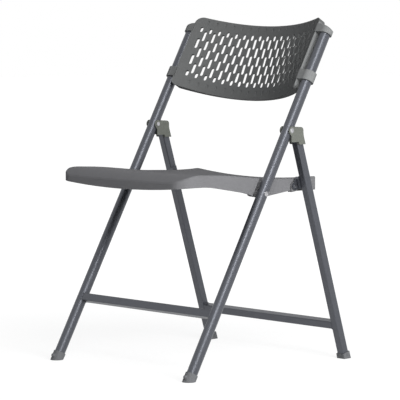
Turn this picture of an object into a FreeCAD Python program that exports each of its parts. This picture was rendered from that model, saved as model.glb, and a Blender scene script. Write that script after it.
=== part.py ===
import math
import os
import FreeCAD
import Part

# Driving sizes in millimetres and degrees. X is across, Y runs to the rear, Z is up.
front_lean = 29.65
rear_lean = 17.45
tube_half = 228.0
tube_d = 25.0
tube_wall = 1.5
leg_side = 19.2
leg_wall = 1.5
leg_corner = 2.5
hinge_z = 550.0
seat_pivot_z = 408.0
front_bar_z = 142.0
rear_bar_z = 83.0
bar_side = 18.6

# Feet
foot_wall = 2.0
front_foot_h = 16.0
front_sole_d = 31.0
foot_floor = 4.0
knob_d = 9.0
knob_reach = 7.0
knob_z = 11.5
knob_edge = 2.0
rear_foot_h = 15.0
rear_lip = 1.6
rear_sole = 23.4
mark_d = 6.0
mark_drop = 7.0
mark_depth = 1.0

# Backrest, placed by how far up the tubes its lower edge lies
panel_inset = 18.5
panel_low = 738.5
panel_tall = 188.5
panel_t = 2.6
bow_low = 78.0
bow_high = 51.2
panel_lead = 16.0
panel_corner = 20.0
panel_low_corner = 10.0
rim_t = 3.5
rim_depth = 22.0
rim_middle = 4.0
cap_drop = 20.0
cap_tall = 21.0
cap_slope = 20.5
cap_wall = 3.4
cap_ball = 45.0
collar_rise = 22.0
collar_tall = 24.5
collar_wall = 4.0
slot_shift = 3.05
slot_pitch = 24.54
slot_columns = 17
slot_w = 8.3
slot_long = 27.0
slot_short = 14.2
slot_row = 43.6
short_row = 59.2
slot_facets = 4
dimple_row = 80.0
dimple_depth = 1.0
dimple_w = 4.0
dimple_long = 9.0

# Seat
seat_inset = 14.0
seat_step = 10.0
seat_ahead = 235.5
seat_behind = 206.0
seat_front_corner = 40.0
seat_rear_corner = 10.0
seat_wall = 4.0
seat_skin = 4.0
seat_edge = 2.2
dish_front = 2.0
dish_rear = 13.5
front_skirt = 11.5
corner_skirt = 22.5
rib_t = 3.0
rib_rise = 7.5
rib_count_x = 6
rib_count_y = 6
boss_d = 17.0
bush_wall = 1.5
step_lead = 13.2
rail_drop = 9.3

# Hinge bracket, slide tabs and shoes
cheek_t = 2.8
lug_r = 9.5
bracket_back = 3.5
bracket_lip = 0.6
bracket_hump = 6.0
bracket_step = 12.0
bracket_rise = 7.5
bracket_round = 8.0
bracket_low = 33.0
bracket_skirt = 27.0
bracket_front = 2.0
leg_top_gap = 6.0
tab_t = 3.0
tab_reach = 20.8
slide_rise = 10.0
tab_up = 20.0
tab_down = 9.0
tab_lead = 1.0
tab_jog = 4.0
shoe_r = 9.3
shoe_floor = 3.0
shoe_upstand = 5.0
shoe_half = 9.0

# Rivets
rivet_d = 6.0
head_d = 12.0
head_h = 2.2
tail_d = 9.6
tail_h = 1.5
pin_d = 5.0
pin_head_d = 9.0
pin_head_h = 1.8

# Clearances
fit = 0.05
run = 0.3
side_gap = 0.4
fold_gap = 0.5

V = FreeCAD.Vector
tube_r = tube_d / 2
lean = math.radians(front_lean)
tilt = math.radians(rear_lean)
along = V(0, math.sin(lean), math.cos(lean))
behind = V(0, math.cos(lean), -math.sin(lean))
leg_up = V(0, -math.sin(tilt), math.cos(tilt))
leg_back = V(0, math.cos(tilt), math.sin(tilt))
across = V(1, 0, 0)

hinge_back = tube_r + leg_side / 2 + fold_gap
leg_foot_y = hinge_z * (math.tan(lean) + math.tan(tilt)) + hinge_back / math.cos(tilt)
front_edge = -front_sole_d / 2
rear_edge = leg_foot_y + rear_sole / 2
mid_y = (front_edge + rear_edge) / 2

root = V(0, -mid_y, 0)
leg_root = V(0, leg_foot_y - mid_y, 0)


def tube_point(z):
    return root + along * (z / along.z)


def leg_point(z):
    return leg_root + leg_up * (z / leg_up.z)


pivot = tube_point(seat_pivot_z)
hinge = tube_point(hinge_z)
leg_hinge = hinge + leg_back * hinge_back


def slide_point():
    want = seat_pivot_z + slide_rise
    return leg_point(want + tab_reach * leg_back.z) - leg_back * tab_reach


slide = slide_point()


def folded_slide():
    arm = slide - hinge
    down = -arm.dot(leg_up)
    back = arm.dot(leg_back)
    place = hinge - along * down + behind * back - pivot
    return place.dot(along), -place.dot(behind)


# Where the shoe stands in the seat, open and folded, as distance behind the pivot and rise.
open_u = slide.y - pivot.y
open_w = slide.z - pivot.z
shut_u, shut_w = folded_slide()
rail_slope = (open_w - shut_w) / (open_u - shut_u)

# Heights of the backrest's features, counted up the tubes.
panel_high = panel_low + panel_tall
cap_top = panel_high - cap_drop
cap_low = cap_top - cap_tall
collar_low = panel_low + collar_rise
collar_high = collar_low + collar_tall
slot_mid = panel_low + panel_tall / 2 + slot_shift

# Layers across the chair, counted as distance from the middle plane.
panel_half = tube_half - panel_inset
seat_half = tube_half - seat_inset
seat_narrow = seat_half - seat_step
tube_in = tube_half - tube_r
cheek_in = tube_half - tube_r - side_gap
cheek_out = cheek_in - cheek_t
tab_in = tube_half - leg_side / 2 - 2 * tab_t
ear_out = tab_in
ear_in = ear_out - tab_t
disc_in = seat_narrow + side_gap
disc_out = ear_in - run
wall_in = seat_narrow - seat_wall


def cylinder(radius, length, start, direction):
    return Part.makeCylinder(radius, length, start, direction)


def yz_face(points, x):
    wire = Part.makePolygon([V(x, p.y, p.z) for p in points] + [V(x, points[0].y, points[0].z)])
    return Part.Face(wire)


def slab(points, x0, x1):
    return yz_face(points, x0).extrude(V(x1 - x0, 0, 0))


def mirror(shape):
    return shape.mirror(V(0, 0, 0), across)


def right_and_left(name, shape):
    save(name + "_right", shape)
    save(name + "_left", mirror(shape))


def pair(shape):
    return Part.makeCompound([shape, mirror(shape)])


def save(name, shape):
    shape.exportStep("parts/" + name + ".step")


def frame_at(base, xdir, zdir):
    ydir = zdir.cross(xdir)
    matrix = FreeCAD.Matrix(
        xdir.x, ydir.x, zdir.x, base.x,
        xdir.y, ydir.y, zdir.y, base.y,
        xdir.z, ydir.z, zdir.z, base.z,
        0, 0, 0, 1)
    return FreeCAD.Placement(matrix)


def rounded_square(side, corner, height):
    half = side / 2
    box = Part.makeBox(side, side, height, V(-half, -half, 0))
    edges = [e for e in box.Edges if abs(e.Vertexes[0].Z - e.Vertexes[1].Z) > height / 2]
    return box.makeFillet(corner, edges)


def square_tube(side, wall, corner, height):
    outer = rounded_square(side, corner, height)
    inner = rounded_square(side - 2 * wall, max(corner - wall, 0.5), height)
    return outer.cut(inner)


def rivet_pair(centre, x_out, x_in, shank, head, rise):
    # A domed outer head, a plain shank and a flat inner head.
    radius = head / 2
    ball = (radius * radius + rise * rise) / (2 * rise)
    ball_at = V(x_out + rise - ball, centre.y, centre.z)
    dome = Part.makeSphere(ball, ball_at)
    disc = cylinder(radius, rise, V(x_out, centre.y, centre.z), across)
    length = x_out - x_in
    stem = cylinder(shank / 2, length, V(x_in, centre.y, centre.z), across)
    flat = cylinder(tail_d / 2, tail_h, V(x_in - tail_h, centre.y, centre.z), across)
    return pair(dome.common(disc).fuse(stem).fuse(flat).removeSplitter())


def bore(centre, radius):
    reach = 2 * seat_half
    return cylinder(radius, reach, V(0, centre.y, centre.z), across)


def tube_end():
    # How far up the tube reaches: its outer rim stays one wall below the cap's domed top.
    fall = math.radians(cap_slope)
    rim = tube_r + cap_ball * math.sin(fall)
    return cap_top - cap_ball * math.cos(fall) + math.sqrt((cap_ball - cap_wall) ** 2 - rim ** 2)


def front_tube():
    base = root + V(tube_half, 0, 0) + along * (foot_floor / along.z + tube_r * math.tan(lean))
    length = tube_end() - (base - root - V(tube_half, 0, 0)).Length
    solid = cylinder(tube_r, length, base, along)
    solid = solid.cut(cylinder(tube_r - tube_wall, length, base, along))
    hole = rivet_d / 2 + fit
    return solid.cut(bore(pivot, hole)).cut(bore(hinge, hole))


def front_crossbar():
    reach = tube_half - leg_side / 2 - fold_gap
    place = frame_at(tube_point(front_bar_z) - across * reach, along, across)
    bar = square_tube(bar_side, leg_wall, leg_corner, 2 * reach)
    bar.Placement = place
    axis = root - along * tube_d
    for side in (-1, 1):
        bar = bar.cut(cylinder(tube_r, cap_top, axis + across * side * tube_half, along))
    return bar


def rear_crossbar():
    reach = tube_half - leg_side / 2
    bar = square_tube(bar_side, leg_wall, leg_corner, 2 * reach)
    bar.Placement = frame_at(leg_point(rear_bar_z) - across * reach, leg_up, across)
    return bar


def front_foot():
    centre = root + V(tube_half, 0, 0)
    top = centre + along * (front_foot_h / along.z)
    collar_r = tube_r + fit + foot_wall
    sole = Part.Wire(Part.makeCircle(front_sole_d / 2, centre, V(0, 0, 1)))
    lip = Part.Wire(Part.makeCircle(collar_r, top, along))
    solid = Part.makeLoft([sole, lip], True, True)
    knob_at = centre + along * (knob_z / along.z)
    knob = cylinder(knob_d / 2, collar_r + knob_reach, knob_at, V(0, -1, 0))
    knob = knob.makeChamfer(knob_edge, [knob.Edges[0]])
    knob = knob.common(Part.makeBox(tube_d, front_sole_d, front_sole_d, centre + V(-tube_r, front_edge, 0)))
    solid = solid.fuse(knob)
    seat_at = centre + along * (foot_floor / along.z + tube_r * math.tan(lean))
    return solid.cut(cylinder(tube_r + fit, cap_top, seat_at, along)).removeSplitter()


def rear_leg():
    start = foot_floor / leg_up.z + leg_side / 2 * math.tan(tilt)
    length = (leg_hinge - leg_root).dot(leg_up) - leg_top_gap - start
    leg = square_tube(leg_side, leg_wall, leg_corner, length)
    leg.Placement = frame_at(leg_root + V(tube_half, 0, 0) + leg_up * start, across, leg_up)
    return leg


def square_wire(centre, xdir, ydir, side):
    half = side / 2
    corners = [(-half, -half), (half, -half), (half, half), (-half, half)]
    points = [centre + xdir * a + ydir * b for a, b in corners]
    return Part.makePolygon(points + [points[0]])


def rear_foot():
    centre = leg_root + V(tube_half, 0, 0)
    top = centre + leg_up * (rear_foot_h / leg_up.z)
    lip = leg_side + 2 * fit + 2 * rear_lip
    sole = square_wire(centre, across, V(0, 1, 0), rear_sole)
    rim = square_wire(top, across, leg_back, lip)
    solid = Part.makeLoft([sole, rim], True, True)
    start = foot_floor / leg_up.z + leg_side / 2 * math.tan(tilt)
    socket = rounded_square(leg_side + 2 * fit, leg_corner, hinge_z)
    socket.Placement = frame_at(centre + leg_up * start, across, leg_up)
    mark_at = top - leg_up * mark_drop + across * (rear_sole / 2 - mark_depth)
    return solid.cut(socket).cut(cylinder(mark_d / 2, tube_d, mark_at, across))


def panel_frame():
    # Local axes: x across, y behind the tube plane, z up the tubes.
    return frame_at(root, across, along)


def bow_at(height):
    share = (height - panel_low) / (panel_high - panel_low)
    return bow_low + (bow_high - bow_low) * share


def bow_radius(height):
    bow = bow_at(height)
    return (panel_half * panel_half + bow * bow) / (2 * bow)


def bow_centre(height):
    return V(0, bow_at(height) - panel_lead - bow_radius(height), height)


def bow_arc(height, lead, middle):
    # An arc across the chair, longer than the panel is wide, through its side and middle depths.
    bow = middle - lead
    radius = (panel_half * panel_half + bow * bow) / (2 * bow)
    reach = panel_half + rim_t
    centre = V(0, middle - radius, height)
    end = V(reach, math.sqrt(radius * radius - reach * reach), 0)
    return Part.Arc(centre + V(-end.x, end.y, 0), centre + V(0, radius, 0), centre + end)


def bow_section(height, side_t, middle_t):
    # A curved strip with one thickness at the side edges and another in the middle.
    middle = bow_at(height) - panel_lead
    near = bow_arc(height, -panel_lead, middle)
    far = bow_arc(height, side_t - panel_lead, middle + middle_t)
    edges = [near.toShape(), Part.makeLine(near.EndPoint, far.EndPoint),
             far.toShape(), Part.makeLine(far.StartPoint, near.StartPoint)]
    return Part.Wire(Part.__sortEdges__(edges))


def bow_sheet(side_t, middle_t):
    # More bowed at the lower edge than at the upper one, and taller than the panel.
    ends = (panel_low - panel_corner, panel_high + panel_corner)
    return Part.makeLoft([bow_section(z, side_t, middle_t) for z in ends], True, True)


def panel_plate(inset):
    # The panel's outline seen from the front, with its rounded corners.
    half = panel_half - inset
    deep = 4 * bow_low
    tall = panel_high - panel_low - 2 * inset
    plate = Part.makeBox(2 * half, deep, tall, V(-half, -deep / 2, panel_low + inset))
    for corner, z in ((panel_corner, panel_high - inset), (panel_low_corner, panel_low + inset)):
        edges = [e for e in plate.Edges if e.BoundBox.YLength > deep / 2 and e.BoundBox.XLength < 1
                 and abs(e.BoundBox.ZMin - z) < 0.01]
        plate = plate.makeFillet(corner - inset, edges)
    return plate


def obround(width, length, depth):
    # Stands on the XZ plane with its long side up, and runs along +Y.
    radius = width / 2
    half = length / 2 - radius
    points = []
    for way in (1, -1):
        for i in range(slot_facets + 1):
            turn = math.pi * i / slot_facets
            points.append(V(way * radius * math.cos(turn), 0, way * (half + radius * math.sin(turn))))
    return Part.Face(Part.makePolygon(points + [points[0]])).extrude(V(0, depth, 0))


def on_bow(shape, arc, height, lift):
    radius = bow_radius(height)
    shape = shape.copy()
    shape.translate(V(0, radius + lift, 0))
    shape.rotate(V(0, 0, 0), V(0, 0, 1), -math.degrees(arc / radius))
    shape.translate(bow_centre(height))
    return shape


def panel_cuts():
    long_slot = obround(slot_w, slot_long, 5 * panel_t)
    short_slot = obround(slot_w, slot_short, 5 * panel_t)
    dimple_at = V(-dimple_w / 2, -2 * panel_t, -dimple_long / 2)
    dimple = Part.makeBox(dimple_w, 2 * panel_t, dimple_long, dimple_at)
    cuts = []
    first = -(slot_columns - 1) / 2
    for i in range(slot_columns):
        arc = (first + i) * slot_pitch
        for v in (-slot_row / 2, slot_row / 2):
            cuts.append(on_bow(long_slot, arc, slot_mid + v, -2 * panel_t))
        for v in (-short_row, short_row):
            cuts.append(on_bow(short_slot, arc, slot_mid + v, -2 * panel_t))
    for i in range(slot_columns - 1):
        arc = (first + i + 0.5) * slot_pitch
        for v in (-slot_row, 0, slot_row):
            cuts.append(on_bow(long_slot, arc, slot_mid + v, -2 * panel_t))
        for v in (-dimple_row, dimple_row):
            cuts.append(on_bow(dimple, arc, slot_mid + v, dimple_depth))
    return cuts


def panel_rim():
    # A return round the outline that deepens from the middle to the side edges.
    return panel_plate(0).cut(panel_plate(rim_t)).common(bow_sheet(rim_depth, rim_middle))


def sleeve(low, high, wall):
    # A ring round the tube with a bridge to the rim.
    ring = cylinder(tube_r + fit + wall, high - low, V(tube_half, 0, low), V(0, 0, 1))
    bridge_x = panel_half - rim_t
    bridge = Part.makeBox(tube_half - bridge_x, rim_depth, high - low, V(bridge_x, -panel_lead, low))
    return ring.fuse(bridge)


def panel_cap():
    # The upper sleeve is closed by a dome that falls away to the outer side.
    fall = math.radians(cap_slope)
    centre = V(tube_half - cap_ball * math.sin(fall), 0, cap_top - cap_ball * math.cos(fall))
    return sleeve(cap_low, panel_high, cap_wall).common(Part.makeSphere(cap_ball, centre))


def backrest():
    sheet = bow_sheet(panel_t, panel_t).common(panel_plate(0))
    sides = [panel_cap(), sleeve(collar_low, collar_high, collar_wall)]
    solid = sheet.fuse([panel_rim()] + sides + [mirror(s) for s in sides])
    for side in (-1, 1):
        axis = V(side * tube_half, 0, 0)
        solid = solid.cut(cylinder(tube_r + fit, tube_end(), axis, V(0, 0, 1)))
    solid = solid.removeSplitter().cut(Part.makeCompound(panel_cuts()))
    solid.Placement = panel_frame()
    return solid


# Seat side curves: share of the depth from the front, and height above the pivot.
seat_top_curve = [(0.0, 34.5), (0.05, 46.2), (0.15, 49.4), (0.30, 45.6), (0.42, 40.4),
                  (0.55, 34.6), (0.70, 31.4), (0.87, 29.0), (1.0, 31.5)]
skirt_curve = [(0.115, 22.0), (0.22, 18.6), (0.315, 11.6), (0.405, 4.9), (0.465, -1.2), (0.50, -7.0)]
seat_rise = 35.0
seat_depth = seat_ahead + seat_behind
seat_front = pivot.y - seat_ahead
seat_rear = pivot.y + seat_behind


def seat_y(share):
    return seat_front + share * seat_depth


def side_curve(points):
    curve = Part.BSplineCurve()
    curve.interpolate([V(0, seat_y(t), seat_pivot_z + h) for t, h in points])
    return curve


def dish(share):
    return dish_front + (dish_rear - dish_front) * share


def top_solid(drop):
    # Everything above the dished top, lowered by drop.
    curve = side_curve(seat_top_curve)
    rows = 13
    reach = seat_half + seat_wall
    grid = []
    for i in range(rows):
        share = i / (rows - 1)
        spot = curve.value(curve.parameter(V(0, seat_y(share), seat_pivot_z + seat_rise)))
        line = []
        for j in range(9):
            x = reach * (j - 4) / 4
            z = spot.z - drop - dish(share) * (1 - (x / seat_half) ** 2)
            line.append(V(x, spot.y, z))
        grid.append(line)
    first = [V(p.x, p.y - 2 * seat_wall, p.z - 2 * seat_wall) for p in grid[0]]
    last = [V(p.x, p.y + 2 * seat_wall, p.z + 0.4 * seat_wall) for p in grid[-1]]
    surface = Part.BSplineSurface()
    surface.interpolate([first] + grid + [last])
    return surface.toShape().extrude(V(0, 0, seat_half))


def plan_solid(inset):
    # The seat seen from above: a wide front and a narrow rear, standing tall.
    low = seat_pivot_z - seat_half / 2
    tall = seat_half
    half = seat_half - inset
    thin = seat_narrow - inset
    y0 = seat_front + inset
    y1 = seat_rear - inset
    wide = Part.makeBox(2 * half, seat_depth * 0.7, tall, V(-half, y0, low))
    front = [e for e in wide.Edges if e.BoundBox.ZLength > tall / 2 and e.BoundBox.YMax < y0 + 1]
    wide = wide.makeFillet(seat_front_corner - inset, front)
    y2 = pivot.y - seat_depth / 5
    narrow = Part.makeBox(2 * thin, y1 - y2, tall, V(-thin, y2, low))
    back = [e for e in narrow.Edges if e.BoundBox.ZLength > tall / 2 and e.BoundBox.YMin > y1 - 1]
    narrow = narrow.makeFillet(seat_rear_corner - inset, back)
    edge = pivot - behind * (step_lead + inset)
    corners = [edge - along * tall, edge + along * tall,
               edge + along * tall + behind * tall, edge - along * tall + behind * tall]
    behind_step = slab(corners, -seat_half, seat_half)
    return wide.cut(behind_step).fuse(narrow).removeSplitter()


def rail_w(u):
    return shut_w - rail_drop + (u - shut_u) * rail_slope


def below_skirt():
    # Everything below the side walls' lower edge.
    curve = side_curve(skirt_curve)
    start = curve.StartPoint
    end = curve.EndPoint
    low = seat_pivot_z - seat_half
    stop_u = open_u + shoe_half + 3 * run
    rail_a = V(0, pivot.y + shut_u - shoe_half, seat_pivot_z + rail_w(shut_u - shoe_half))
    rail_b = V(0, pivot.y + stop_u, seat_pivot_z + rail_w(stop_u))
    far = seat_rear + seat_wall
    rest = [end, rail_a, rail_b, V(0, rail_b.y, rail_b.z - seat_wall), V(0, far, rail_b.z - seat_wall),
            V(0, far, low), V(0, start.y, low), start]
    edges = [curve.toShape()]
    for p, q in zip(rest, rest[1:]):
        edges.append(Part.makeLine(p, q))
    face = Part.Face(Part.Wire(edges))
    face.translate(V(-seat_half - seat_wall, 0, 0))
    return face.extrude(V(2 * (seat_half + seat_wall), 0, 0))


def below_front():
    # Everything below the front lip, which hangs lowest in the middle.
    reach = seat_half + seat_wall
    low = seat_pivot_z - seat_half
    side = seat_pivot_z + corner_skirt
    y = seat_front - seat_wall
    arc = Part.Arc(V(-reach, y, side), V(0, y, seat_pivot_z + front_skirt), V(reach, y, side)).toShape()
    loop = [V(reach, y, side), V(reach, y, low), V(-reach, y, low), V(-reach, y, side)]
    edges = [arc] + [Part.makeLine(p, q) for p, q in zip(loop, loop[1:])]
    return Part.Face(Part.Wire(edges)).extrude(V(0, seat_y(skirt_curve[0][0]) - y, 0))


def ribs(cavity):
    # Square cells under the skin, kept clear of the lower edges and of the shoe's path.
    plates = []
    low = seat_pivot_z + rib_rise
    tall = seat_half
    for i in range(1, rib_count_x + 1):
        x = wall_in * (2 * i / (rib_count_x + 1) - 1)
        plates.append(Part.makeBox(rib_t, seat_depth, tall, V(x - rib_t / 2, seat_front, low)))
    for i in range(1, rib_count_y + 1):
        y = seat_y(i / (rib_count_y + 1))
        plates.append(Part.makeBox(2 * seat_half, rib_t, tall, V(-seat_half, y - rib_t / 2, low)))
    front_room = seat_y(skirt_curve[0][0]) - seat_front
    lip = Part.makeBox(2 * seat_half, front_room, corner_skirt, V(-seat_half, seat_front, low))
    return cavity.common(plates[0].fuse(plates[1:])).cut(lip)


def seat_shell():
    outer = plan_solid(0).cut(top_solid(0))
    top_edges = [e for e in outer.Edges if e.BoundBox.ZMin > seat_pivot_z + 5]
    outer = outer.makeChamfer(seat_edge, top_edges)
    cavity = plan_solid(seat_wall).cut(top_solid(seat_skin))
    skirts = [below_skirt(), below_front()]
    grid = ribs(cavity).cut(below_skirt().translate(V(0, 0, rib_rise)))
    shell = outer.cut(cavity).cut(skirts)
    boss_end = tube_in - side_gap - run
    boss = cylinder(boss_d / 2, boss_end - wall_in, V(wall_in, pivot.y, pivot.z), across)
    shell = shell.fuse([grid, boss, mirror(boss)])
    hole = rivet_d / 2 + fit + bush_wall + fit
    for end in (1, -1):
        shell = shell.cut(cylinder(hole, tube_half, V(0, pivot.y, pivot.z), across * end))
    return shell.removeSplitter()


def seat_bushes():
    outer = rivet_d / 2 + fit + bush_wall
    length = tube_in - side_gap - wall_in
    tube = cylinder(outer, length, V(wall_in, pivot.y, pivot.z), across)
    return pair(tube.cut(cylinder(rivet_d / 2 + fit, length, V(wall_in, pivot.y, pivot.z), across)))


def from_hinge(y, z):
    return hinge + V(0, y, z)


def leg_face_at(z, sign):
    # Where the leg's front or rear face stands behind the hinge at this height.
    return (hinge_back + sign * leg_side / 2 - z * math.sin(tilt)) / math.cos(tilt)


def bracket_outline():
    back = leg_face_at(0, 1) + bracket_back
    step_back = leg_face_at(-bracket_step, 1) + bracket_lip
    low_back = leg_face_at(-bracket_low, 1) + bracket_lip
    return [from_hinge(-lug_r / 2, bracket_rise), from_hinge(back, bracket_rise),
            from_hinge(back, -bracket_hump), from_hinge(step_back, -bracket_step),
            from_hinge(low_back, -bracket_low), from_hinge(leg_face_at(-bracket_low, -1), -bracket_low),
            from_hinge(leg_face_at(-bracket_skirt, -1), -bracket_skirt),
            from_hinge(-bracket_front, -bracket_skirt), from_hinge(-bracket_front, -bracket_skirt / 2),
            from_hinge(-lug_r, -lug_r / 3)]


def bracket():
    x0 = cheek_out
    x1 = 2 * tube_half - cheek_out
    body = slab(bracket_outline(), x0, x1)
    lug = cylinder(lug_r, x1 - x0, V(x0, hinge.y, hinge.z), across)
    body = body.fuse(lug).removeSplitter()
    corner = from_hinge(leg_face_at(0, 1) + bracket_back, bracket_rise)
    edges = [e for e in body.Edges if e.BoundBox.XLength > tube_r
             and abs(e.BoundBox.YMin - corner.y) + abs(e.BoundBox.ZMin - corner.z) < 0.01]
    body = body.makeFillet(bracket_round, edges)
    # Room for the tube between the cheeks, open and folded.
    c0 = cheek_in
    c1 = 2 * tube_half - cheek_in
    far = 4 * tube_d
    room = tube_r + side_gap
    for way, rear in ((along, behind), (leg_up, leg_back)):
        line = hinge + rear * room
        corners = [line - way * far, line + way * far,
                   line + way * far - rear * far, line - way * far - rear * far]
        body = body.cut(slab(corners, c0, c1))
    socket = rounded_square(leg_side + 2 * fit, leg_corner, 3 * far)
    top = leg_hinge + V(tube_half, 0, 0) - leg_up * (leg_top_gap + 3 * far)
    socket.Placement = frame_at(top, across, leg_up)
    return body.cut(socket).cut(bore(hinge, rivet_d / 2 + fit)).removeSplitter()


def slide_tab():
    # A flat leaf on the leg, a joggle inwards and a round ear that carries the shoe.
    leaf_out = tube_half - leg_side / 2
    spot = slide + leg_back * tab_reach
    lead = leg_side / 2 + tab_lead
    def side(back, up):
        return spot + leg_back * back + leg_up * up
    leaf = slab([side(leg_side / 2 - leg_corner, -tab_down), side(leg_side / 2 - leg_corner, tab_up),
                 side(-lead, tab_up), side(-lead, -tab_down)], leaf_out - tab_t, leaf_out)
    step = slab([side(-lead + 0.01, -tab_down), side(-lead + 0.01, tab_up),
                 side(-lead - tab_jog, tab_up - tab_jog), side(-lead - tab_jog, -tab_down)], ear_in, leaf_out)
    ear = slab([side(-lead - tab_jog + 0.01, -tab_down), side(-lead - tab_jog + 0.01, tab_up - tab_jog),
                side(-tab_reach, tab_down), side(-tab_reach, -tab_down)], ear_in, ear_out)
    disc = cylinder(tab_down, tab_t, V(ear_in, slide.y, slide.z), across)
    tab = leaf.fuse([step, ear, disc])
    return tab.cut(bore(slide, pin_d / 2 + fit)).removeSplitter()


def seat_shoe():
    floor = -rail_drop - run
    def edge(u, w):
        return slide + V(0, u, w + u * rail_slope)
    disc = cylinder(shoe_r, disc_out - disc_in, V(disc_in, slide.y, slide.z), across)
    skirt = slab([edge(-shoe_half, floor - shoe_floor), edge(shoe_half, floor - shoe_floor),
                  edge(shoe_half, 0), edge(-shoe_half, 0)], disc_in, disc_out)
    sole = slab([edge(-shoe_half, floor - shoe_floor), edge(shoe_half, floor - shoe_floor),
                 edge(shoe_half, floor), edge(-shoe_half, floor)], wall_in - run - tab_t, disc_out)
    lip = slab([edge(-shoe_half, floor - shoe_floor), edge(shoe_half, floor - shoe_floor),
                edge(shoe_half, floor + shoe_upstand), edge(-shoe_half, floor + shoe_upstand)],
               wall_in - run - tab_t, wall_in - run)
    shoe = disc.fuse([skirt, sole, lip])
    return shoe.cut(bore(slide, pin_d / 2 + fit)).removeSplitter()


def slide_rivets():
    head = cylinder(pin_head_d / 2, pin_head_h, V(ear_out + fit, slide.y, slide.z), across)
    stem = cylinder(pin_d / 2, ear_out + fit - disc_in, V(disc_in, slide.y, slide.z), across)
    return pair(head.fuse(stem).removeSplitter())


os.makedirs("parts", exist_ok=True)
tube_out = tube_half + tube_r
right_and_left("front_tube", front_tube())
save("front_crossbar", front_crossbar())
right_and_left("front_foot", front_foot())
save("backrest_panel", backrest())
save("seat_pivot_rivets", rivet_pair(pivot, tube_out + fit, wall_in - run, rivet_d, head_d, head_h))
hinge_out = 2 * tube_half - cheek_out
save("hinge_rivets", rivet_pair(hinge, hinge_out + fit, cheek_out - fit, rivet_d, head_d, head_h))
save("seat_shell", seat_shell())
save("seat_pivot_bushes", seat_bushes())
right_and_left("rear_leg", rear_leg())
save("rear_crossbar", rear_crossbar())
right_and_left("rear_foot", rear_foot())
right_and_left("hinge_bracket", bracket())
right_and_left("slide_tab", slide_tab())
save("slide_rivets", slide_rivets())
right_and_left("slide_shoe", seat_shoe())
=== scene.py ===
import math

import bpy
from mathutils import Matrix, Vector


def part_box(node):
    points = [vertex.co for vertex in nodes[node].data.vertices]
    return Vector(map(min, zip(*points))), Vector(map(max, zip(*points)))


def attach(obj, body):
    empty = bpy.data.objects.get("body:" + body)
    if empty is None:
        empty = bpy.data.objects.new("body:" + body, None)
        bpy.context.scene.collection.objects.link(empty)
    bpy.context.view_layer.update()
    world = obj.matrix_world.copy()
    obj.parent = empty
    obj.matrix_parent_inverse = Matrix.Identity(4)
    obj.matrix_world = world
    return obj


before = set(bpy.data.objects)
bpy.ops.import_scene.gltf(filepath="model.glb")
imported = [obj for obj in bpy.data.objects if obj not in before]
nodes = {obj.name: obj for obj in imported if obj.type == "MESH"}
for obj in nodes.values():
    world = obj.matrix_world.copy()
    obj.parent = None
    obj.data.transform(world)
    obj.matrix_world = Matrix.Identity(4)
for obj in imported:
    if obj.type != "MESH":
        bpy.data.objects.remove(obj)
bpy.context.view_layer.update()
scene = bpy.context.scene

# Lengths are in metres. The lean of the front tubes and rear legs.
FRONT_LEAN = math.radians(29.65)
REAR_LEAN = math.radians(17.45)

# Axes along the front tubes and rear legs, and square to them in the side view.
TUBE_UP = Vector((0, math.sin(FRONT_LEAN), math.cos(FRONT_LEAN)))
TUBE_BACK = Vector((0, math.cos(FRONT_LEAN), -math.sin(FRONT_LEAN)))
LEG_UP = Vector((0, -math.sin(REAR_LEAN), math.cos(REAR_LEAN)))
LEG_BACK = Vector((0, math.cos(REAR_LEAN), math.sin(REAR_LEAN)))

# The crossbars, and the rippled weld beads round their ends.
BAR_SIDE = 0.0186
BAR_CORNER = 0.0025
CORNER_POINTS = 5
BEAD_R = 0.0014
BEAD_SIDES = 10
BEAD_STEP = 0.0012
RIPPLE_SIZE = 0.16
RIPPLE_TURN = 2 * math.pi * 5 / 12
WOBBLE_SIZE = 0.08
WOBBLE_TURN = 2.3

# The slotted back, with heights counted up the tubes.
PANEL_LOW = 0.7385
PANEL_TALL = 0.1885
PANEL_HALF = 0.2095
PANEL_T = 0.0026
PANEL_LEAD = 0.016
BOW_LOW = 0.078
BOW_HIGH = 0.0512
SLOT_MID = 0.8358
SLOT_PITCH = 0.02454
SLOT_COLUMNS = 17
SLOT_W = 0.0083
SLOT_LONG = 0.027
SLOT_SHORT = 0.0142
SLOT_ROW = 0.0436
SHORT_ROW = 0.0592
SLOT_FACETS = 4

# The lips behind the slots: where they start beside the middle, and how they rise from there.
LIP_START = 0.05
LIP_SLOPE = 0.029
LIP_WALL = 0.0008
LIP_ROOT = 0.0005
LIP_INSET = 0.0001

# Specular level of the grained plastics, which mirror little of the white round them.
MATT = 0.05

# Edges sharper than this stay sharp, in degrees: on the two large mouldings and on the rest.
SHARP_MOULDING = 50
SHARP_REST = 32

# The floor: its colour to other surfaces, the part of it that takes shadow, and the glow that
# makes it white, which grows from near the chair to far from it.
FLOOR_SIZE = 40
FLOOR_DROP = 0.0005
FLOOR_PALE = (0.78, 0.78, 0.78, 1)
FLOOR_SHADE = (0.2, 0.2, 0.2, 1)
GLOW_NEAR_R, GLOW_FAR_R = 0.5, 2.0
GLOW_NEAR, GLOW_FAR = 0.84, 1.0

# Even light from all round.
SOFT_TINT = (0.95, 0.97, 1.0, 1)
SOFT_STRENGTH = 0.2

# Lamps: name, azimuth and elevation in degrees, distance, size, watts, and if gloss shows them.
LAMP_AIM = (0, 0, 0.42)
LAMPS = (
    ("right", 83, 21, 3.2, (1.6, 1.6), 106, False),
    ("camera_side", 58, 35, 3.4, (1.0, 1.8), 58, True),
    ("low_front", 30, 3, 3.4, (1.6, 0.8), 2, True),
    ("rear", 215, 30, 3.4, (1.6, 1.6), 24, False),
)

# The camera, with its lens and sensor in millimetres and its angles in degrees.
LENS = 202.3
SENSOR = 36
CLIP_END = 100
CAMERA_AIM = (-0.0003, -0.0003, 0.3791)
CAMERA_AZIMUTH = 46.30
CAMERA_ELEVATION = 4.63
CAMERA_DISTANCE = 5.317

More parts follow.
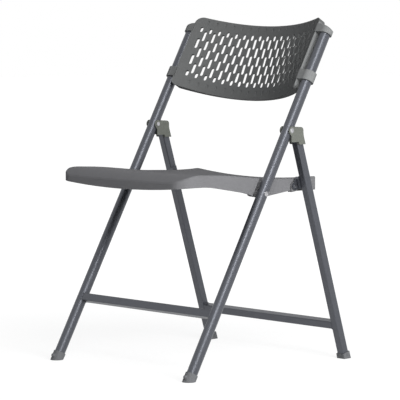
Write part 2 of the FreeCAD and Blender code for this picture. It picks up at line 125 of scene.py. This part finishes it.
# Sockets of the Mix node's colour form, whose names its other forms share.
MIX_A, MIX_B, MIX_RESULT = 6, 7, 2


def srgb(r, g, b):
    """Linear colour of an sRGB value given in 0..255."""
    out = []
    for c in (r, g, b):
        c = c / 255
        out.append(c / 12.92 if c <= 0.04045 else ((c + 0.055) / 1.055) ** 2.4)
    return tuple(out) + (1.0,)


def scaled(colour, k):
    """The colour made k times as bright."""
    return tuple(c * k for c in colour[:3]) + (1.0,)


def middle(node):
    """Middle of a CAD node's box."""
    low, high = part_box(node)
    return (low + high) / 2


class Shader:
    """A small helper that adds and links the nodes of one material."""

    def __init__(self, name):
        self.mat = bpy.data.materials.new(name)
        self.mat.use_nodes = True
        self.tree = self.mat.node_tree
        self.bsdf = self.tree.nodes["Principled BSDF"]
        self.coord = self.add("ShaderNodeTexCoord").outputs["Object"]

    def add(self, kind, **values):
        node = self.tree.nodes.new(kind)
        for key, value in values.items():
            setattr(node, key, value)
        return node

    def link(self, a, b):
        self.tree.links.new(a, b)

    def feed(self, output, name):
        """Links an output to a socket of the Principled shader."""
        self.link(output, self.bsdf.inputs[name])

    def set(self, **values):
        """Sets sockets of the Principled shader, with _ for the spaces in their names."""
        for key, value in values.items():
            self.bsdf.inputs[key.replace("_", " ")].default_value = value

    def noise(self, scale, detail=2.0, rough=0.5, stretch=None):
        node = self.add("ShaderNodeTexNoise")
        node.inputs["Scale"].default_value = scale
        node.inputs["Detail"].default_value = detail
        node.inputs["Roughness"].default_value = rough
        source = self.coord
        if stretch is not None:
            mapping = self.add("ShaderNodeMapping")
            mapping.inputs["Scale"].default_value = stretch
            self.link(source, mapping.inputs["Vector"])
            source = mapping.outputs["Vector"]
        self.link(source, node.inputs["Vector"])
        return node.outputs["Fac"]

    def cells(self, scale):
        node = self.add("ShaderNodeTexVoronoi", feature="SMOOTH_F1")
        node.inputs["Scale"].default_value = scale
        self.link(self.coord, node.inputs["Vector"])
        return node.outputs["Distance"]

    def ramp(self, value, low, high, a=0.0, b=1.0):
        """Maps low..high to a..b."""
        node = self.add("ShaderNodeMapRange")
        node.inputs["From Min"].default_value = low
        node.inputs["From Max"].default_value = high
        node.inputs["To Min"].default_value = a
        node.inputs["To Max"].default_value = b
        self.link(value, node.inputs["Value"])
        return node.outputs["Result"]

    def mix(self, factor, a, b):
        """Blends two colours, each a tuple or another node's output."""
        node = self.add("ShaderNodeMix", data_type="RGBA")
        self.link(factor, node.inputs["Factor"])
        for value, socket in ((a, MIX_A), (b, MIX_B)):
            if isinstance(value, tuple):
                node.inputs[socket].default_value = value
            else:
                self.link(value, node.inputs[socket])
        return node.outputs[MIX_RESULT]

    def aside(self):
        """Distance from the chair's middle plane."""
        split = self.add("ShaderNodeSeparateXYZ")
        self.link(self.coord, split.inputs["Vector"])
        size = self.add("ShaderNodeMath", operation="ABSOLUTE")
        self.link(split.outputs["X"], size.inputs[0])
        return size.outputs["Value"]

    def soft_edges(self, radius):
        """Normals that round the sharp edges by this radius."""
        node = self.add("ShaderNodeBevel", samples=6)
        node.inputs["Radius"].default_value = radius
        return node.outputs["Normal"]

    def bump(self, height, distance, strength, after=None):
        node = self.add("ShaderNodeBump")
        node.inputs["Distance"].default_value = distance
        node.inputs["Strength"].default_value = strength
        self.link(height, node.inputs["Height"])
        if after is not None:
            self.link(after, node.inputs["Normal"])
        return node.outputs["Normal"]


def painted(name, colour, rough, metal):
    """Powder coat with a fine metallic fleck, a little orange peel and a thin gloss."""
    s = Shader(name)
    fleck = s.ramp(s.noise(scale=1500), 0.35, 0.65)
    base = s.mix(fleck, scaled(colour, 0.94), scaled(colour, 1.06))
    cloud = s.ramp(s.noise(scale=14, detail=4), 0.35, 0.75)
    base = s.mix(cloud, base, scaled(colour, 0.95))
    s.feed(base, "Base Color")
    s.feed(s.ramp(s.noise(scale=60), 0.3, 0.7, rough - 0.02, rough + 0.03), "Roughness")
    s.set(Metallic=metal, Coat_Weight=0.1, Coat_Roughness=0.3)
    peel = s.noise(scale=110, detail=1)
    s.feed(s.bump(peel, distance=0.00004, strength=0.1), "Normal")
    return s.mat


def moulded(name, colour, rough, grain, depth, edge, sides=None):
    """Moulded plastic with a leather-like grain and slightly uneven gloss.

    The sides argument gives a distance from the middle plane and how many times paler the colour
    is painted beyond it: painted light, for the lit look of the back's flanges, caps and collars.
    """
    s = Shader(name)
    fine = s.noise(scale=grain * 2.2, detail=3, rough=0.6)
    tone = s.ramp(s.noise(scale=30, detail=3), 0.3, 0.7)
    base = s.mix(tone, scaled(colour, 0.96), scaled(colour, 1.04))
    speck = s.ramp(fine, 0.35, 0.7)
    base = s.mix(speck, base, scaled(colour, 1.05))
    # Painted light: beyond a distance from the middle plane the colour is made paler, so the
    # back's flanges, caps and collars look lit.
    if sides is not None:
        start, painted_light_gain = sides
        out = s.ramp(s.aside(), start - 0.0005, start + 0.0005)
        base = s.mix(out, base, scaled(colour, painted_light_gain))
    s.feed(base, "Base Color")
    s.feed(s.ramp(fine, 0.3, 0.7, rough - 0.04, rough + 0.05), "Roughness")
    s.set(Specular_IOR_Level=MATT)
    coarse = s.bump(s.cells(grain), depth, 0.4, after=s.soft_edges(edge))
    s.feed(s.bump(fine, depth * 0.6, 0.4, after=coarse), "Normal")
    return s.mat


def steel(name, colour, rough):
    """Zinc plated steel with fine brushing and faint cloudy patches."""
    s = Shader(name)
    cloud = s.ramp(s.noise(scale=160, detail=4, rough=0.6), 0.3, 0.7)
    base = s.mix(cloud, scaled(colour, 0.85), scaled(colour, 1.08))
    s.feed(base, "Base Color")
    s.feed(s.ramp(s.noise(scale=500), 0.3, 0.7, rough - 0.06, rough + 0.08), "Roughness")
    s.set(Metallic=1.0)
    brushed = s.noise(scale=300, detail=3, stretch=(1, 8, 8))
    s.feed(s.bump(brushed, 0.00008, 0.4, after=s.soft_edges(0.0003)), "Normal")
    return s.mat


PAINT = painted("frame_paint", srgb(80, 82, 88), rough=0.38, metal=0.65)
SEAT = moulded("seat_plastic", srgb(104, 104, 106), rough=0.85, grain=420, depth=0.00016,
               edge=0.0012)
# The back's outer edges are painted paler, as painted light on its flanges, caps and collars.
BACK = moulded("back_plastic", srgb(92, 93, 93), rough=0.75, grain=420, depth=0.00016,
               edge=0.0006, sides=(0.2085, 1.55))
TRIM = moulded("trim_plastic", srgb(94, 96, 91), rough=0.46, grain=700, depth=0.00008,
               edge=0.0008)
FEET = moulded("foot_plastic", srgb(98, 99, 101), rough=0.46, grain=700, depth=0.00008,
               edge=0.0008)
BUSH = moulded("bush_plastic", srgb(60, 60, 60), rough=0.5, grain=700, depth=0.00008,
               edge=0.0003)
ZINC = steel("rivet_steel", srgb(184, 184, 187), rough=0.26)

# Finish of the nodes whose names start so.
LOOKS = {
    "front_tube": PAINT, "front_crossbar": PAINT,
    "rear_leg": PAINT, "rear_crossbar": PAINT, "slide_tab": PAINT,
    "seat_shell": SEAT, "slide_shoe": SEAT, "backrest_panel": BACK, "seat_pivot_bushes": BUSH,
    "seat_pivot_rivets": ZINC, "hinge_rivets": ZINC, "slide_rivets": ZINC,
    "front_foot": FEET, "rear_foot": FEET, "hinge_bracket": TRIM,
}


def dress_nodes():
    """Gives each CAD mesh its finish and smooth shading with its sharp edges kept."""
    for name, obj in nodes.items():
        start = next(key for key in LOOKS if name.startswith(key))
        obj.data.materials.clear()
        obj.data.materials.append(LOOKS[start])
        for polygon in obj.data.polygons:
            polygon.use_smooth = True
        moulding = name in ("seat_shell", "backrest_panel")
        angle = SHARP_MOULDING if moulding else SHARP_REST
        obj.data.set_sharp_from_angle(angle=math.radians(angle))


def closed_grid(start, rows, columns):
    """Faces of a grid of points, numbered from start, that closes on itself both ways."""
    faces = []
    for i in range(rows):
        for k in range(columns):
            j, m = (i + 1) % rows, (k + 1) % columns
            corners = ((i, k), (i, m), (j, m), (j, k))
            faces.append(tuple(start + row * columns + column for row, column in corners))
    return faces


def new_piece(name, verts, faces, finish, smooth):
    """A mesh object in the scene with one finish."""
    mesh = bpy.data.meshes.new(name)
    mesh.from_pydata([tuple(v) for v in verts], [], faces)
    for polygon in mesh.polygons:
        polygon.use_smooth = smooth
    mesh.materials.append(finish)
    piece = bpy.data.objects.new(name, mesh)
    scene.collection.objects.link(piece)
    return piece


def bar_outline(side, corner, count):
    """Points round a rounded square as pairs, count of them on each corner."""
    flat = side / 2 - corner
    points = []
    for quarter in range(4):
        mid = math.pi / 2 * quarter + math.pi / 4
        for i in range(count):
            turn = math.pi / 2 * (quarter + i / (count - 1))
            a = math.copysign(flat, math.cos(mid)) + corner * math.cos(turn)
            b = math.copysign(flat, math.sin(mid)) + corner * math.sin(turn)
            points.append((a, b))
    return points


def dense(points, step):
    """Adds points on the long stretches of a closed loop."""
    out = []
    for a, b in zip(points, points[1:] + points[:1]):
        steps = max(1, round((b - a).length / step))
        out += [a.lerp(b, i / steps) for i in range(steps)]
    return out


def weld_bead(name, loop, outward, body):
    """A rippled bead swept along a closed loop of points round an axis."""
    verts = []
    count = len(loop)
    for i, point in enumerate(loop):
        way = (loop[(i + 1) % count] - loop[i - 1]).normalized()
        out = outward.cross(way).normalized()
        lift = way.cross(out)
        ripple = RIPPLE_SIZE * math.sin(i * RIPPLE_TURN) + WOBBLE_SIZE * math.sin(i * WOBBLE_TURN)
        size = BEAD_R * (1 + ripple)
        for k in range(BEAD_SIDES):
            turn = 2 * math.pi * k / BEAD_SIDES
            verts.append(point + out * (size * math.cos(turn)) + lift * (size * math.sin(turn)))
    bead = new_piece(name, verts, closed_grid(0, count, BEAD_SIDES), PAINT, smooth=True)
    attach(bead, body)


def weld_crossbars():
    """Beads where the square crossbars meet the round tubes and the flat legs."""
    outline = bar_outline(BAR_SIDE, BAR_CORNER, CORNER_POINTS)
    tube = middle("front_tube_right").x
    low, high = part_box("front_tube_right")
    tube_r = (high.x - low.x) / 2
    leg_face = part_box("rear_leg_right")[0].x
    front, rear = middle("front_crossbar"), middle("rear_crossbar")
    for side, word in ((1, "right"), (-1, "left")):
        outward = Vector((side, 0, 0))
        loop = []
        for a, b in outline:
            x = tube - math.sqrt(tube_r ** 2 - b ** 2)
            loop.append(Vector((side * x, front.y, front.z)) + TUBE_UP * a + TUBE_BACK * b)
        weld_bead("weld_front_" + word, dense(loop, BEAD_STEP), outward, "front_frame")
        loop = []
        for a, b in outline:
            loop.append(Vector((side * leg_face, rear.y, rear.z)) + LEG_UP * a + LEG_BACK * b)
        weld_bead("weld_rear_" + word, dense(loop, BEAD_STEP), outward, "rear_frame")


def tube_foot():
    """Where the plane of the front tubes' axes meets the floor, in the chair's middle."""
    mid = middle("front_tube_right")
    return Vector((0, mid.y - mid.z * math.tan(FRONT_LEAN), 0))


def on_back(foot, arc, height, aside, up, depth):
    """A point of the back: arc along its curve, height up the tubes, and an offset from there."""
    bow = BOW_LOW + (BOW_HIGH - BOW_LOW) * (height - PANEL_LOW) / PANEL_TALL
    radius = (PANEL_HALF ** 2 + bow ** 2) / (2 * bow)
    turn = arc / radius
    reach = radius + depth
    x = aside * math.cos(turn) + reach * math.sin(turn)
    y = reach * math.cos(turn) - aside * math.sin(turn) + bow - PANEL_LEAD - radius
    return foot + Vector((x, 0, 0)) + TUBE_BACK * y + TUBE_UP * (height + up)


def slot_outline(width, length):
    """Points round a slot with faceted ends as pairs of offsets, across and up."""
    radius = width / 2
    half = length / 2 - radius
    points = []
    for way in (1, -1):
        for i in range(SLOT_FACETS + 1):
            turn = math.pi * i / SLOT_FACETS
            points.append((way * radius * math.cos(turn), way * (half + radius * math.sin(turn))))
    return points


def slot_places():
    """Arc, height and length of each slot."""
    places = []
    first = -(SLOT_COLUMNS - 1) / 2
    for i in range(SLOT_COLUMNS):
        arc = (first + i) * SLOT_PITCH
        places += [(arc, SLOT_MID + v, SLOT_LONG) for v in (-SLOT_ROW / 2, SLOT_ROW / 2)]
        places += [(arc, SLOT_MID + v, SLOT_SHORT) for v in (-SHORT_ROW, SHORT_ROW)]
    for i in range(SLOT_COLUMNS - 1):
        arc = (first + i + 0.5) * SLOT_PITCH
        places += [(arc, SLOT_MID + v, SLOT_LONG) for v in (-SLOT_ROW, 0, SLOT_ROW)]
    return places


def slot_lips():
    """A lip round each outer slot on the rear of the back, higher towards the sides."""
    foot = tube_foot()
    verts, faces = [], []
    for arc, height, length in slot_places():
        rise = LIP_SLOPE * (abs(arc) - LIP_START)
        if rise <= 0:
            continue
        inner = slot_outline(SLOT_W - 2 * LIP_INSET, length - 2 * LIP_INSET)
        outer = slot_outline(SLOT_W + 2 * LIP_WALL, length + 2 * LIP_WALL)
        low, high = PANEL_T - LIP_ROOT, PANEL_T + rise
        rings = ((inner, low), (inner, high), (outer, high), (outer, low))
        faces += closed_grid(len(verts), len(rings), len(inner))
        for ring, depth in rings:
            verts += [on_back(foot, arc, height, a, b, depth) for a, b in ring]
    lips = new_piece("slot_lips", verts, faces, BACK, smooth=False)
    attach(lips, "front_frame")


def seen(tree):
    """1 for the camera, glossy and transmission rays that see the white background, else 0."""
    path = tree.nodes.new("ShaderNodeLightPath")
    ray = path.outputs["Is Camera Ray"]
    for name in ("Is Glossy Ray", "Is Transmission Ray"):
        either = tree.nodes.new("ShaderNodeMath")
        either.operation = "MAXIMUM"
        tree.links.new(ray, either.inputs[0])
        tree.links.new(path.outputs[name], either.inputs[1])
        ray = either.outputs["Value"]
    return ray


def make_stage():
    """A white floor that keeps the chair's soft shadow near it and throws a little light back."""
    bpy.ops.mesh.primitive_plane_add(size=FLOOR_SIZE, location=(0, 0, -FLOOR_DROP))
    floor = bpy.context.object
    floor.name = "stage_floor"
    s = Shader("stage_white")
    pale = s.add("ShaderNodeBsdfDiffuse")
    pale.inputs["Color"].default_value = FLOOR_PALE
    shade = s.add("ShaderNodeBsdfDiffuse")
    shade.inputs["Color"].default_value = FLOOR_SHADE
    glow = s.add("ShaderNodeEmission")
    away = s.add("ShaderNodeVectorMath", operation="LENGTH")
    s.link(s.coord, away.inputs[0])
    level = s.ramp(away.outputs["Value"], GLOW_NEAR_R, GLOW_FAR_R, GLOW_NEAR, GLOW_FAR)
    s.link(level, glow.inputs["Strength"])
    white = s.add("ShaderNodeAddShader")
    s.link(glow.outputs["Emission"], white.inputs[0])
    s.link(shade.outputs["BSDF"], white.inputs[1])
    blend = s.add("ShaderNodeMixShader")
    s.link(seen(s.tree), blend.inputs["Fac"])
    s.link(pale.outputs["BSDF"], blend.inputs[1])
    s.link(white.outputs["Shader"], blend.inputs[2])
    s.link(blend.outputs["Shader"], s.tree.nodes["Material Output"].inputs["Surface"])
    floor.data.materials.append(s.mat)


def make_world():
    """Dim even light, with white round the chair for the camera and for reflections."""
    world = bpy.data.worlds.new("studio")
    scene.world = world
    world.use_nodes = True
    tree = world.node_tree
    tree.nodes.clear()
    out = tree.nodes.new("ShaderNodeOutputWorld")
    white = tree.nodes.new("ShaderNodeBackground")
    white.inputs["Color"].default_value = (1, 1, 1, 1)
    soft = tree.nodes.new("ShaderNodeBackground")
    soft.inputs["Color"].default_value = SOFT_TINT
    soft.inputs["Strength"].default_value = SOFT_STRENGTH
    blend = tree.nodes.new("ShaderNodeMixShader")
    tree.links.new(seen(tree), blend.inputs["Fac"])
    tree.links.new(soft.outputs["Background"], blend.inputs[1])
    tree.links.new(white.outputs["Background"], blend.inputs[2])
    tree.links.new(blend.outputs["Shader"], out.inputs["Surface"])


def around(azimuth, elevation, distance, target):
    """A point at this azimuth and elevation from the target, azimuth 0 being the chair's front."""
    a, e = math.radians(azimuth), math.radians(elevation)
    way = Vector((math.sin(a) * math.cos(e), -math.cos(a) * math.cos(e), math.sin(e)))
    return Vector(target) + way * distance


def aim(obj, target):
    """Turns a lamp or camera to look at the target."""
    obj.rotation_mode = "QUATERNION"
    obj.rotation_quaternion = (Vector(target) - obj.location).to_track_quat("-Z", "Y")


def softbox(name, azimuth, elevation, distance, size, power, shine):
    """A rectangular lamp that the camera doesn't see, and gloss only with shine."""
    data = bpy.data.lights.new(name, "AREA")
    data.shape = "RECTANGLE"
    data.size, data.size_y = size
    data.energy = power
    light = bpy.data.objects.new(name, data)
    light.location = around(azimuth, elevation, distance, LAMP_AIM)
    aim(light, LAMP_AIM)
    scene.collection.objects.link(light)
    light.visible_camera = False
    light.visible_glossy = shine


def make_camera():
    """The camera at the photograph's viewing angle."""
    data = bpy.data.cameras.new("camera")
    data.sensor_width = SENSOR
    data.lens = LENS
    data.clip_end = CLIP_END
    camera = bpy.data.objects.new("camera", data)
    scene.collection.objects.link(camera)
    camera.location = around(CAMERA_AZIMUTH, CAMERA_ELEVATION, CAMERA_DISTANCE, CAMERA_AIM)
    aim(camera, CAMERA_AIM)
    scene.camera = camera


dress_nodes()
weld_crossbars()
slot_lips()
make_stage()
make_world()
for lamp in LAMPS:
    softbox(*lamp)
make_camera()
scene.view_settings.view_transform = "Standard"
